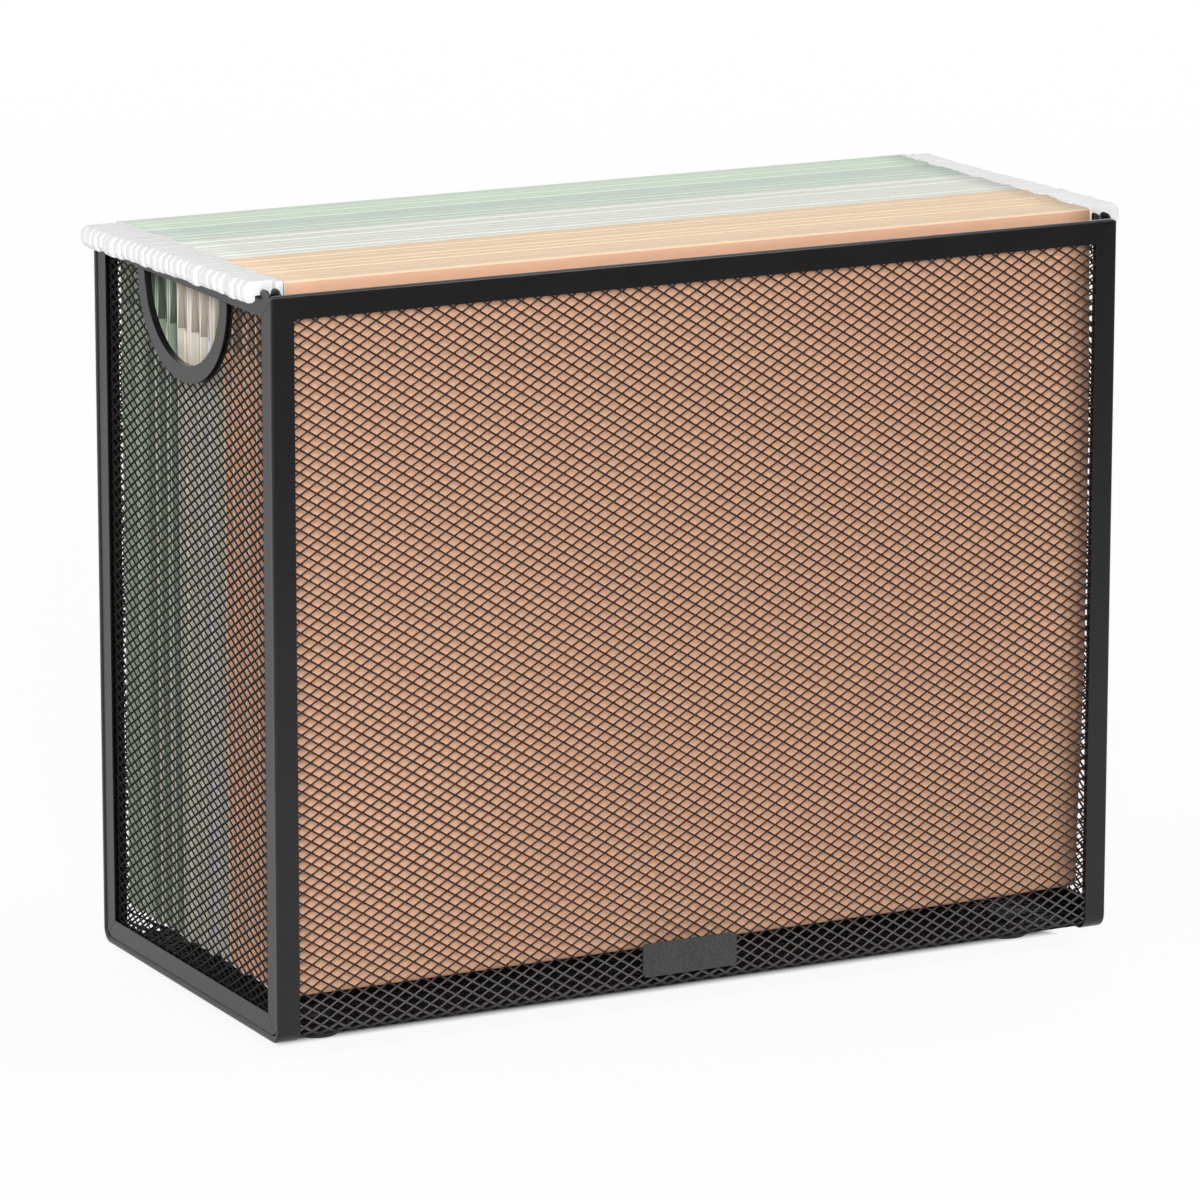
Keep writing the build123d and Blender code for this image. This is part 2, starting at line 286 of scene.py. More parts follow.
@dataclass(frozen=True)
class DippedVinyl:
    """Soft white coat into which the hooks are dipped, with fine ribs across the row."""

    name: str
    colour: Colour
    # Darker colour in the hollows of the ribs, painted shade
    shade: Colour
    rib: float = 2.1 * MM
    pore: float = 0.5 * MM
    depth: float = 0.3 * MM

    def material(self) -> bpy.types.Material:
        """Makes the finish."""
        shader = Shader(self.name)
        ribs = shader.grain(self.rib, 1, (0.12, 1, 0.12))
        pore = shader.grain(self.pore)
        # The ribs' hollows take the darker colour, painted shade
        colour = shader.mix((ribs * 1.8 - 0.5).limited(), self.shade, self.colour)
        return shader.dress(
            Base_Color=colour,
            Roughness=0.52 + pore * 0.14,
            Normal=shader.relief(ribs, self.depth),
            Specular_IOR_Level=0.25,
        )


@dataclass(frozen=True)
class PaperStack:
    """Sheets seen mostly from their cut edges."""

    name: str
    colour: Colour
    # Darker colour in the lines between the sheets, painted shade in their gaps
    shade: Colour
    sheet: float = 0.3 * MM
    cloud: float = 12 * MM
    depth: float = 0.08 * MM

    def material(self) -> bpy.types.Material:
        """Makes the finish."""
        shader = Shader(self.name)
        edge = shader.grain(self.sheet, 1, (0.02, 1, 0.02))
        cloud = shader.grain(self.cloud)
        # Lines between the sheets take the darker colour, painted shade; the cloud varies the tone
        colour = shader.mix((edge * 1.4 - 0.25 + cloud * 0.2).limited(), self.shade, self.colour)
        return shader.dress(
            Base_Color=colour,
            Roughness=0.8 + cloud * 0.1,
            Normal=shader.relief(edge, self.depth),
            Specular_IOR_Level=0.2,
        )


@dataclass(frozen=True)
class FootRubber:
    """Moulded rubber, matt with dust in its pores."""

    name: str
    colour: Colour
    dust: Colour
    pore: float = 0.35 * MM
    patch: float = 5 * MM
    depth: float = 0.03 * MM

    def material(self) -> bpy.types.Material:
        """Makes the finish."""
        shader = Shader(self.name)
        pore = shader.grain(self.pore, 3)
        dust = shader.grain(self.patch, 4)
        colour = shader.mix((dust * 2.0 - 0.8).limited() * 0.5, self.colour, self.dust)
        return shader.dress(
            Base_Color=colour,
            Roughness=0.55 + pore * 0.3,
            Normal=shader.relief(pore, self.depth),
        )


class Tone(Enum):
    """Card colours, in the order in which they stand in the row."""

    TAN = "tan_card"
    GREY = "grey_card"
    GREEN = "green_card"
    PALE = "pale_card"


class Papers(Enum):
    """What a folder holds: nothing, or papers in covers of manila or white."""

    NONE = 0
    MANILA = 1
    WHITE = 2


class Part(IntEnum):
    """Parts of a card, as the order of its finishes."""

    LEAF = 0
    # Top faces in a lighter colour, painted light from above
    LIT_TOP = 1
    # Inner faces in a darker colour, painted shade
    INNER_SHADE = 2


@dataclass(frozen=True)
class CardColours:
    """Colours of one card: its leaves, its top faces in a lighter colour as painted light from above, and its
    inside in a darker colour as painted shade.
    """

    leaf: Colour
    lit_top: Colour
    inner_shade: Colour


# Each card's second colour is painted light on its top faces, its third painted shade on its inner faces
CARD_COLOURS: dict[Tone, CardColours] = {
    Tone.TAN: CardColours((0.76, 0.445, 0.29, 1), (0.82, 0.63, 0.45, 1), (0.52, 0.36, 0.24, 1)),
    Tone.GREY: CardColours((0.56, 0.52, 0.45, 1), (0.73, 0.75, 0.695, 1), (0.44, 0.38, 0.31, 1)),
    Tone.GREEN: CardColours((0.25, 0.31, 0.24, 1), (0.58, 0.655, 0.59, 1), (0.12, 0.155, 0.115, 1)),
    Tone.PALE: CardColours((0.46, 0.53, 0.41, 1), (0.63, 0.73, 0.60, 1), (0.20, 0.24, 0.17, 1)),
}


class Palette:
    """Every finish, made once."""

    # How far up from its underside the base sheet is painted black, painted shade under the case
    base_edge: float = 1.8 * MM

    def __init__(self) -> None:
        """Makes the materials that the pieces share."""
        self.coat = PowderCoat(
            "black_coat", (0.003, 0.003, 0.0035, 1), (0.012, 0.0115, 0.012, 1), shine=0.1, gloss=0.65
        ).material()
        # Lighter, warmer copy of the black coat: painted light on the front strands, lighter still below 20
        # mm, where the lit strands stand before the dark gap under the folders
        self.lit_front_coat = PowderCoat(
            "black_front_coat",
            (0.021, 0.006, 0.003, 1),
            (0.031, 0.013, 0.009, 1),
            0.5,
            shine=0.35,
            lower=(0.085, 0.078, 0.079, 1),
        ).material()
        # Darker copy of the black coat: painted shade on the end and rear strands
        self.shaded_end_coat = PowderCoat(
            "black_end_coat", (0.003, 0.0024, 0.002, 1), (0.008, 0.006, 0.005, 1), 0.55, shine=0.1
        ).material()
        # Lighter copy of the black coat, painted light on the base sheet and its bends, painted black near
        # its underside as painted shade
        self.lit_and_shaded_base_coat = PowderCoat(
            "black_base_coat",
            (0.062, 0.058, 0.059, 1),
            (0.085, 0.08, 0.081, 1),
            0.5,
            shine=0.12,
            lower=(0.004, 0.004, 0.004, 1),
            lower_height=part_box("base_mesh")[0][2] + self.base_edge,
            lower_least=1,
        ).material()
        self.plate = PowderCoat(
            "plate_grey", (0.008, 0.008, 0.009, 1), (0.078, 0.075, 0.081, 1), 0.5, 0.7 * MM
        ).material()
        self.washer = PowderCoat(
            "washer_black", (0.014, 0.014, 0.014, 1), (0.022, 0.022, 0.022, 1), 0.6
        ).material()
        self.rubber = FootRubber("foot_black", (0.012, 0.012, 0.012, 1), (0.04, 0.04, 0.038, 1)).material()
        # Its second colour is painted shade in the rib hollows
        self.vinyl = DippedVinyl("hook_white", (0.77, 0.77, 0.765, 1), (0.71, 0.71, 0.71, 1)).material()
        self.rod = PowderCoat(
            "rod_steel", (0.30, 0.30, 0.31, 1), (0.42, 0.42, 0.42, 1), 0.42, 0.8 * MM
        ).material()
        # The second colour of each stack is painted shade in the gaps between its sheets
        self.manila = PaperStack("manila", (0.84, 0.79, 0.65, 1), (0.64, 0.59, 0.46, 1)).material()
        self.sheets = PaperStack("white_sheets", (0.82, 0.84, 0.92, 1), (0.60, 0.62, 0.72, 1)).material()
        self.cut_edge = PaperStack("card_edge", (0.89, 0.88, 0.83, 1), (0.78, 0.76, 0.68, 1)).material()
        self.cards = {
            tone: [
                FolderCard(tone.value, colours.leaf).material(),
                # Lighter copy for the top faces, painted light from above
                FolderCard(tone.value + "_lit_top", colours.lit_top, 0.05, 0.01 * MM).material(),
                # Darker copy for the inner faces, painted shade
                FolderCard(tone.value + "_inner_shade", colours.inner_shade).material(),
            ]
            for tone, colours in CARD_COLOURS.items()
        }


def settle(
    name: str,
    mesh: bmesh.types.BMesh,
    finishes: list[bpy.types.Material],
    body: str,
    node: str,
    smooth: float | None = None,
) -> bpy.types.Object:
    """Turns a finished bmesh into a piece of the object.

    Args:
        name: the piece's name.
        mesh: its shape in the frame's place; it is freed here.
        finishes: its materials, by material index.
        body: the body that it rides on.
        node: the node that it stands for.
        smooth: edges flatter than this many degrees are shaded smooth, and all of them where it is None.

    Returns:
        The piece.
    """
    data = bpy.data.meshes.new(name)
    for face in mesh.faces:
        face.smooth = True
    mesh.to_mesh(data)
    mesh.free()
    if smooth is not None:
        data.set_sharp_from_angle(angle=math.radians(smooth))
    for finish in finishes:
        data.materials.append(finish)
    piece = bpy.data.objects.new(name, data)
    bpy.context.scene.collection.objects.link(piece)
    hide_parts(node)
    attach(piece, body)
    log.info("%s: %d faces", name, len(data.polygons))
    return piece


def add_block(
    mesh: bmesh.types.BMesh,
    low: Vector,
    high: Vector,
    finish: int = 0,
    rounding: float = 0,
    runs: int = 1,
) -> None:
    """Adds a block to a shape.

    Args:
        mesh: where it is added.
        low: its lowest corner.
        high: its highest corner.
        finish: its material index.
        rounding: width of the bevel along its edges, which stay sharp at 0.
        runs: how many faces go round the bevel.
    """
    made = bmesh.ops.create_cube(mesh, size=1)["verts"]
    bmesh.ops.scale(mesh, verts=made, vec=high - low)
    bmesh.ops.translate(mesh, verts=made, vec=(low + high) / 2)
    for face in {face for vert in made for face in vert.link_faces}:
        face.material_index = finish
    if rounding:
        edges = list({edge for vert in made for edge in vert.link_edges})
        bmesh.ops.bevel(
            mesh, geom=edges, affect="EDGES", offset=rounding, segments=runs, profile=0.5, material=-1
        )


def finish_with_modifiers(mesh: bmesh.types.BMesh, *modifiers: tuple[str, dict]) -> bmesh.types.BMesh:
    """Runs modifiers on a bmesh and takes their result back.

    Args:
        mesh: the shape; it is freed here.
        modifiers: each modifier's type and its settings, in order.

    Returns:
        The resulting shape.
    """
    data = bpy.data.meshes.new("draft")
    mesh.to_mesh(data)
    mesh.free()
    draft = bpy.data.objects.new("draft", data)
    bpy.context.scene.collection.objects.link(draft)
    for kind, settings in modifiers:
        modifier = draft.modifiers.new(kind.title(), kind)
        for key, value in settings.items():
            setattr(modifier, key, value)
    graph = bpy.context.evaluated_depsgraph_get()
    result = bmesh.new()
    result.from_object(draft, graph)
    bpy.data.objects.remove(draft)
    bpy.data.meshes.remove(data)
    return result


def node_copy(node: str) -> bmesh.types.BMesh:
    """Merged copy of a node's mesh, with its flat faces joined again."""
    mesh = bmesh.new()
    mesh.from_mesh(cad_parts[node].data)
    bmesh.ops.remove_doubles(mesh, verts=mesh.verts, dist=0.002 * MM)
    bmesh.ops.dissolve_limit(
        mesh, angle_limit=math.radians(0.6), verts=mesh.verts, edges=mesh.edges, use_dissolve_boundaries=False
    )
    return mesh


@dataclass
class ExpandedSheet:
    """Expanded steel, made by repeating one diamond of it in a flat sheet."""

    long_pitch: float = 6.11 * MM
    short_pitch: float = 3.77 * MM
    strand: float = 0.54 * MM
    thickness: float = 0.35 * MM
    # How far the strands slant, as rise over thickness, and the share of a gap's half length at which its
    # tips are cut off
    slant: float = 0.35
    tip: float = 0.9

    def opening(self, cut_tips: bool) -> list[tuple[float, float]]:
        """Corners of the gap in one diamond, with its long tips cut off or not."""
        half_x = self.long_pitch / 2
        half_y = self.short_pitch / 2
        shrink = 1 - self.strand / 2 * math.hypot(half_x, half_y) / (half_x * half_y)
        x, y = half_x * shrink, half_y * shrink
        if not cut_tips:
            return [(x, 0), (0, y), (-x, 0), (0, -y)]
        cut_x, cut_y = x * self.tip, y * (1 - self.tip)
        return [(cut_x, cut_y), (0, y), (-cut_x, cut_y), (-cut_x, -cut_y), (0, -y), (cut_x, -cut_y)]

    def diamond(self) -> bmesh.types.BMesh:
        """One diamond: a flat ring on either face, joined by the wall of the gap."""
        mesh = bmesh.new()
        outline = [(self.long_pitch / 2, 0), (0, self.short_pitch / 2)]
        outline += [(-x, -y) for x, y in outline]
        walls = []
        for height, cut_tips in ((self.thickness / 2, True), (-self.thickness / 2, False)):
            rings = []
            for corners in (outline, self.opening(cut_tips)):
                verts = [mesh.verts.new((x, y, height)) for x, y in corners]
                rings.append([mesh.edges.new((a, b)) for a, b in zip(verts, verts[1:] + verts[:1])])
            bmesh.ops.triangle_fill(mesh, use_beauty=True, edges=rings[0] + rings[1])
            walls += rings[1]
        bmesh.ops.bridge_loops(mesh, edges=walls)
        for vert in mesh.verts:
            vert.co.y += self.slant * vert.co.z
        return mesh

    def flat(self, width: float, height: float) -> bmesh.types.BMesh:
        """Flat rectangle of the sheet about its own middle.

        Args:
            width: its length along X.
            height: its length along Y.

        Returns:
            The shape, open at its cut ends, with its thickness about Z 0.
        """
        columns = math.ceil(width / self.long_pitch) + 1
        rows = math.ceil(height / self.short_pitch) + 1
        repeats = (
            (2, (self.long_pitch / 2, self.short_pitch / 2, 0)),
            (columns, (self.long_pitch, 0, 0)),
            (rows, (0, self.short_pitch, 0)),
        )
        fixed = {"use_relative_offset": False, "use_constant_offset": True}
        arrays = [
            ("ARRAY", {"count": count, "constant_offset_displace": step, **fixed}) for count, step in repeats
        ]
        sheet = finish_with_modifiers(self.diamond(), *arrays)
        bmesh.ops.remove_doubles(sheet, verts=sheet.verts, dist=WELD)
        shift = Vector((-columns * self.long_pitch / 2, -height / 2 - self.short_pitch / 2, 0))
        bmesh.ops.translate(sheet, verts=sheet.verts, vec=shift)
        for normal, reach in (((1, 0), width), ((-1, 0), width), ((0, 1), height), ((0, -1), height)):
            trim(sheet, Vector((*normal, 0)) * reach / 2, Vector((*normal, 0)))
        return sheet

    def close(self, sheet: bmesh.types.BMesh) -> bmesh.types.BMesh:
        """Closes the cut ends of the strands and turns every face outwards."""
        rim = [edge for edge in sheet.edges if edge.is_boundary]
        bmesh.ops.holes_fill(sheet, edges=rim, sides=0)
        bmesh.ops.recalc_face_normals(sheet, faces=sheet.faces)
        return sheet


def trim(mesh: bmesh.types.BMesh, point: Vector, normal: Vector) -> None:
    """Cuts off what lies past a plane."""
    everything = mesh.verts[:] + mesh.edges[:] + mesh.faces[:]
    bmesh.ops.bisect_plane(
        mesh, geom=everything, dist=WELD / 2, plane_co=point, plane_no=normal, clear_outer=True
    )


@dataclass
class MeshCase:
    """The case: one bent sheet, two end sheets, the folded channels, rails, rims, plate and feet."""

    palette: Palette
    steel: float = 0.7 * MM
    mesh_steel: float = 1.0 * MM
    bend_radius: float = 5.0 * MM
    base_strand: float = 0.7 * MM
    base_thickness: float = 0.9 * MM
    end_corner: float = 3.3 * MM
    rim_half_length: float = 33.4 * MM
    rim_depth: float = 29.8 * MM
    rim_chords: int = 8
    edge_round: float = 0.16 * MM
    fold_round: float = 1.8 * MM
    fold_steps: int = 6
    # Dome of a foot, as shares of its radius and heights, and the stem above it
    foot_dome: tuple[tuple[float, float], ...] = (
        (0.55, 0),
        (0.72, 0.5 * MM),
        (0.88, 1.7 * MM),
        (0.97, 3.2 * MM),
        (1, 4.6 * MM),
    )
    foot_round: float = 0.5 * MM
    foot_steps: int = 48
    stem_radius: float = 1.6 * MM
    stem_round: float = 0.3 * MM
    sheet: ExpandedSheet = field(default_factory=ExpandedSheet)
    end_sheet: ExpandedSheet = field(
        default_factory=lambda: ExpandedSheet(
            long_pitch=6.17 * MM, short_pitch=3.53 * MM, strand=0.6 * MM, thickness=0.32 * MM
        )
    )

    def build(self) -> None:
        """Makes every piece of the case."""
        self.faces()
        self.base()
        self.ends()
        self.channels()
        self.feet()

    def faces(self) -> None:
        """Front and rear sheet, standing in their channels."""
        # The front sheet takes the lighter copy of the coat, painted light, and the rear sheet the darker
        # copy, painted shade
        coats = (self.palette.lit_front_coat, self.palette.shaded_end_coat)
        for node, side, coat in zip(("front_mesh", "rear_mesh"), (-1, 1), coats):
            low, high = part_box(node)
            size = high - low
            mesh = self.sheet.close(self.sheet.flat(size[0], size[2]))
            stand = Matrix.Rotation(math.radians(90), 4, "X")
            if side > 0:
                stand = Matrix.Rotation(math.radians(180), 4, "Z") @ stand
            bmesh.ops.transform(mesh, matrix=Matrix.Translation((low + high) / 2) @ stand, verts=mesh.verts)
            settle(node + "_expanded", mesh, [coat], "case", node)

    def base(self) -> None:
        """Base sheet with the bends that turn up into the front and rear."""
        low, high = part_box("base_mesh")
        half_flat = (high[1] - low[1]) / 2 + self.steel - self.bend_radius
        roll = self.bend_radius - self.steel - self.mesh_steel / 2
        turn = roll * math.pi / 2
        middle = low[2] + self.mesh_steel / 2
        length = 2 * (half_flat + turn)
        rows = round(length / self.sheet.short_pitch)
        sheet = ExpandedSheet(
            short_pitch=length / rows, strand=self.base_strand, thickness=self.base_thickness
        )
        mesh = sheet.flat(high[0] - low[0], length)
        bmesh.ops.rotate(mesh, verts=mesh.verts, matrix=Matrix.Rotation(math.pi, 3, "X"))
        sheet.close(mesh)
        for vert in mesh.verts:
            x, along, out = vert.co
            past = abs(along) - half_flat
            if past <= 0:
                vert.co = (x, along, middle + out)
                continue
            angle = past / roll
            reach = roll - out
            vert.co = (
                x,
                math.copysign(half_flat + reach * math.sin(angle), along),
                middle + roll - reach * math.cos(angle),
            )
        # Lighter copy of the coat, painted light, turning black near the underside as painted shade
        coat = self.palette.lit_and_shaded_base_coat
        settle("base_mesh_expanded", mesh, [coat], "case", "base_mesh")

    def rim_corner(self, step: int) -> Vector:
        """Corner of the polygon that is cut for the hand hole, about the middle of its top edge."""
        angle = math.pi * step / self.rim_chords
        return Vector((-self.rim_half_length * math.cos(angle), -self.rim_depth * math.sin(angle), 0))

    def ends(self) -> None:
        """End sheets, cut round the hand holes and at their lower corners."""
        hole_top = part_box("left_hand_hole_rim")[1][2]
        for hand, side in (("left", -1), ("right", 1)):
            node = f"{hand}_end_mesh"
            low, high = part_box(node)
            size = high - low
            mesh = self.end_sheet.flat(size[1], size[2])
            for turn in (-1, 1):
                corner = Vector((turn * (size[1] / 2 - self.end_corner), self.end_corner - size[2] / 2, 0))
                outwards = Vector((turn, -1, 0)).normalized()
                trim(mesh, corner + outwards * self.end_corner, outwards)
            self.cut_hand_hole(mesh, hole_top - (low[2] + high[2]) / 2)
            self.end_sheet.close(mesh)
            upright = Matrix.Rotation(math.radians(90), 4, "X")
            stand = Matrix.Rotation(math.radians(90 * side), 4, "Z") @ upright
            bmesh.ops.transform(mesh, matrix=Matrix.Translation((low + high) / 2) @ stand, verts=mesh.verts)
            # The end sheets take the darker copy of the coat, painted shade
            settle(node + "_expanded", mesh, [self.palette.shaded_end_coat], "case", node)

    def cut_hand_hole(self, mesh: bmesh.types.BMesh, top: float) -> None:
        """Cuts a half ellipse of straight chords, whose edge the rim covers.

        Args:
            mesh: the flat end sheet.
            top: height of the ellipse's middle in the sheet.
        """
        middle = Vector((0, top, 0))
        corners = [middle + self.rim_corner(step) for step in range(self.rim_chords + 1)]
        lift = Vector((0, 1, 0)) * self.rim_depth
        corners = [corners[0] + lift, *corners, corners[-1] + lift]
        planes = []
        for first, second in zip(corners, corners[1:]):
            normal = (second - first).cross(Vector((0, 0, 1))).normalized()
            planes.append((first, normal))
            near = [
                face
                for face in mesh.faces
                if abs(face.calc_center_median().x) < self.rim_half_length + self.end_sheet.long_pitch
                and face.calc_center_median().y > top - self.rim_depth - self.end_sheet.short_pitch
            ]
            edges = list({edge for face in near for edge in face.edges})
            verts = list({vert for face in near for vert in face.verts})
            bmesh.ops.bisect_plane(
                mesh, geom=verts + edges + near, dist=WELD / 2, plane_co=first, plane_no=normal
            )
        inside = [
            face
            for face in mesh.faces
            if all((face.calc_center_median() - point).dot(normal) < 0 for point, normal in planes)
        ]
        bmesh.ops.delete(mesh, geom=inside, context="FACES")

    def channels(self) -> None:
        """Folded channels, rails, rims, plate and washers, with their edges rounded."""
        palette = self.palette
        finishes = {
            "name_plate": (palette.plate, "plate_grey"),
            "foot_washers": (palette.washer, "washer_black"),
        }
        nodes = ["front_top_channel", "rear_top_channel", "name_plate", "foot_washers"]
        parts = ("edge_channel", "front_upright", "rear_upright", "base_channel")
        parts += ("hand_hole_rim", "file_rail")
        nodes += [f"{hand}_{part}" for hand in ("left", "right") for part in parts]
        for node in nodes:
            finish, slot = finishes.get(node, (palette.coat, "black_coat"))
            mesh = node_copy(node)
            if "top_channel" in node:
                self.round_top(mesh)
            piece = settle(node + "_steel", mesh, [finish], "case", node, 30)
            bevel = piece.modifiers.new("Rounded edges", "BEVEL")
            bevel.width = self.edge_round
            bevel.segments = 2
            bevel.limit_method = "ANGLE"
            bevel.angle_limit = math.radians(40)
            bevel.harden_normals = True

    def round_top(self, mesh: bmesh.types.BMesh) -> None:
        """Gives the outer fold along the top of a channel a wider round."""
        top = max(vert.co.z for vert in mesh.verts)
        side = math.copysign(1, sum(vert.co.y for vert in mesh.verts))
        out = max(abs(vert.co.y) for vert in mesh.verts)
        centre = Vector((0, side * (out - self.fold_round), top - self.fold_round))
        for step in range(self.fold_steps + 1):
            angle = math.pi / 2 * step / self.fold_steps
            bmesh.ops.bisect_plane(
                mesh,
                geom=mesh.verts[:] + mesh.edges[:] + mesh.faces[:],
                dist=WELD,
                plane_co=centre,
                plane_no=(0, -side * math.sin(angle), math.cos(angle)),
            )
        for vert in mesh.verts:
            spoke = Vector((0, vert.co.y, vert.co.z)) - centre
            if spoke.y * side > 0 and spoke.z > 0 and spoke.length > self.fold_round:
                spot = centre + spoke.normalized() * self.fold_round
                vert.co = (vert.co.x, spot.y, spot.z)

    def feet(self) -> None:
        """Domed rubber feet, turned about their stems."""
        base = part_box("base_mesh")[0][2]
        for name in ("front_left", "rear_left", "front_right", "rear_right"):
            node = f"{name}_foot"
            low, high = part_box(node)
            middle = (low + high) / 2
            radius = (high[0] - low[0]) / 2
            profile = [
                (0, 0),
                *[(radius * share, height) for share, height in self.foot_dome],
                (radius, base - self.foot_round),
                (radius - self.foot_round, base),
                (self.stem_radius, base),
                (self.stem_radius, high[2] - self.stem_round),
                (self.stem_radius - self.stem_round, high[2]),
                (0, high[2]),
            ]
            mesh = bmesh.new()
            verts = [mesh.verts.new((x, 0, z)) for x, z in profile]
            edges = [mesh.edges.new(pair) for pair in zip(verts, verts[1:])]
            bmesh.ops.spin(
                mesh,
                geom=verts + edges,
                cent=(0, 0, 0),
                axis=(0, 0, 1),
                angle=math.tau,
                steps=self.foot_steps,
                use_merge=True,
            )
            bmesh.ops.remove_doubles(mesh, verts=mesh.verts, dist=WELD)
            bmesh.ops.recalc_face_normals(mesh, faces=mesh.faces)
            bmesh.ops.translate(mesh, verts=mesh.verts, vec=(middle[0], middle[1], 0))
            settle(node + "_rubber", mesh, [self.palette.rubber], "case", node, 50)


@dataclass(frozen=True)
class OpenLeaf:
    """How the first folder's front leaf stands, which nothing presses on.

    It leans forwards at its right, curls back at its lower right corner and swells at its lower left.
    """

    lean: float = 1.4 * MM
    curl: float = 2.0 * MM
    # Where the right part starts, how far on it is full, and the share of the height that curls
    right_start: float = 60 * MM
    right_run: float = 85 * MM
    curl_height: float = 0.4
    swell: float = 2.24 * MM
    swell_middle: float = -105 * MM
    swell_width: float = 38 * MM
    swell_height: float = 0.22
    swell_rise: float = 0.16
    # Share of the height, from the fold down, over which the leaf leaves its plane
    hung: float = 1 / 3

    def back(self, x: float, height: float) -> float:
        """How far the leaf lies behind its plane.

        Args:
            x: place along the folder.
            height: share of the leaf's height, 0 at its bottom.

        Returns:
            The distance, below 0 where the leaf lies in front of its plane.
        """
        right = held((x - self.right_start) / self.right_run) ** 2
        lower = held(height / self.curl_height)
        lower = lower * lower * (3 - 2 * lower)
        along = (x - self.swell_middle) / self.swell_width
        up = (height - self.swell_height) / self.swell_rise
        swell = self.swell * math.exp(-(along**2) - up**2)
        hung = held((1 - height) / self.hung)
        return (right * (self.curl - (self.curl + self.lean) * lower) - swell) * hung


@dataclass
class HangingFolder:
    """One hanging folder: its folded card, its two rods with coated hooks, and its papers."""

    palette: Palette
    number: int
    last: int
    tone: Tone
    papers_held: Papers
    chance: random.Random
    card: float = 0.5 * MM
    fold_round: float = 0.5 * MM
    base_round: float = 3.3 * MM
    mouth: float = 0.3 * MM
    spread: float = 0.1 * MM
    tuck_drop: float = 8.0 * MM
    tuck_length: float = 21.0 * MM
    tuck_gap: float = 0.15 * MM
    tuck_round: float = 2 * MM
    # Runs along the card's length and up its leaves, and how tall a leaf's edge is at least
    card_runs: int = 24
    leaf_cuts: int = 14
    leaf_edge: float = 60 * MM
    # A face near the top takes the lighter top colour, painted light from above, where its normal rises more
    # than this
    lit_top_band: float = 1.5 * MM
    lit_top_slope: float = 0.3
    # The darker inner colour, painted shade, starts above the bottom and near the middle, and a leaf starts
    # further out
    inner_shade_start: float = 20 * MM
    inner_shade_half: float = 1.2 * MM
    leaf_start: float = 2 * MM
    top_band: float = 2 * MM
    # How much lower one top of the card may stand than the other
    uneven: float = 0.6 * MM
    # A dipped hook: its gap to the card, its rise over the rod, the slope and step of its toe, and the
    # range of its tip's height
    hook_thickness: float = 4.1 * MM
    hook_round: float = 0.5 * MM
    hook_gap: float = 0.06 * MM
    coat_rise: float = 0.45 * MM
    toe: float = 1.7 * MM
    toe_step: float = 1.1 * MM
    dip: tuple[float, float] = (-0.3 * MM, 0.35 * MM)
    notch_inner: float = 150.25 * MM
    notch_outer: float = 157.25 * MM
    notch_top: float = 252.1 * MM
    # Furthest point of the hooks of the first and the last folder, and how far a rod may have slid from it
    reach_left: tuple[float, float] = (160.9 * MM, 165.9 * MM)
    reach_right: tuple[float, float] = (163.6 * MM, 160.0 * MM)
    slide: float = 0.5 * MM
    # A root widens the hook where the fold stands open by more than its least
    root_least: float = 1 * MM
    root_inset: float = 0.2 * MM
    root_reach: float = 0.95 * MM
    root_step: float = 0.05 * MM
    strip_thickness: float = 1.2 * MM
    strip_share: float = 0.8
    # Papers: the leaves of the cover, and bundles of sheets that stand lower and shorter than it
    cover: float = 0.35 * MM
    bundle: float = 0.9 * MM
    bundle_share: float = 0.94
    bundle_drop: tuple[float, float] = (0.2 * MM, 2.6 * MM)
    bundle_inset: tuple[float, float] = (0.1 * MM, 1.6 * MM)
    bundle_base: float = 0.5 * MM
    cover_base: float = 0.1 * MM
    paper_round: float = 0.08 * MM
    # Depth of the waves in a free leaf and in a pressed one, their turn in radians per metre, and the share
    # of the first
    wave: float = 0.45 * MM
    pressed_wave: float = 0.05 * MM
    wave_turns: Triple = (21, 47, 9)
    wave_share: float = 0.6
    # Rise of the left end of the first and the last folder, and of the right end, which sinks from one
    # folder on and has sunk fully some folders later
    sag_left: tuple[float, float] = (0.3 * MM, -0.5 * MM)
    sag_right: float = -0.9 * MM
    sag_after: int = 4
    sag_over: int = 5
    sag_length: float = 298 * MM
    open_leaf: OpenLeaf = OpenLeaf()

    def build(self) -> None:
        """Makes the folder's pieces."""
        self.body = f"folder_{self.number:02d}"
        self.low, self.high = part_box(self.body + "_sleeve")
        self.rods_low, self.rods_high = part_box(self.body + "_rods")
        self.middle = (self.rods_low[1] + self.rods_high[1]) / 2
        self.sleeve()
        self.rods()
        if self.papers_held is not Papers.NONE:
            self.papers()

    def profile(self) -> list[tuple[float, float, float]]:
        """Corners of the card's middle line: y about the folder's middle, height and bend radius."""
        half = self.card / 2
        front = self.low[1] + half - self.middle - self.spread
        rear = self.high[1] - half - self.middle + self.spread
        top = self.high[2] - half
        base = self.low[2] + half
        tuck_top = self.high[2] - self.tuck_drop
        tuck_end = tuck_top - self.tuck_length
        inset = self.card + self.tuck_gap
        return [
            (front + inset, tuck_end, 0),
            (-self.mouth, tuck_top, self.tuck_round),
            (-self.mouth, top, self.fold_round),
            (front, top, self.fold_round),
            (front, base, self.base_round),
            (rear, base, self.base_round),
            (rear, top, self.fold_round),
            (self.mouth, top, self.fold_round),
            (self.mouth, tuck_top, self.tuck_round),
            (rear - inset, tuck_end, 0),
        ]

